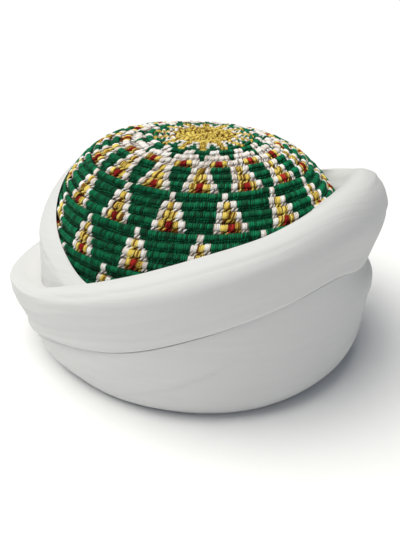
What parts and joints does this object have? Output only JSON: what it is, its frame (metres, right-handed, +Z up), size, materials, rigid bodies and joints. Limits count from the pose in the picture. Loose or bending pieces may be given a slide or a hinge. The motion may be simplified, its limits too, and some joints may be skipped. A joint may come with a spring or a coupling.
{
  "type": "turban",
  "caption": "Domed crochet cap wound with thick white cotton turns that tilt across each other, open underneath for the head.",
  "frame": {"origin": "centre of the bounding box's bottom, on the surface that the turban stands on", "axes": "+Z up, -Y towards the viewer of the picture, +X to that viewer's right"},
  "size_m": [0.2472, 0.2416, 0.1453],
  "materials": {
    "crochet_yarn": "crocheted cotton yarn in green, with white, gold and red stitches",
    "white_cotton": "fine matt white cotton cloth"
  },
  "bodies": {
    "root": {"crochet_cap": "crochet_yarn", "lower_turn": "white_cotton", "cross_turn": "white_cotton", "outer_turn": "white_cotton"}
  },
  "joints": []
}
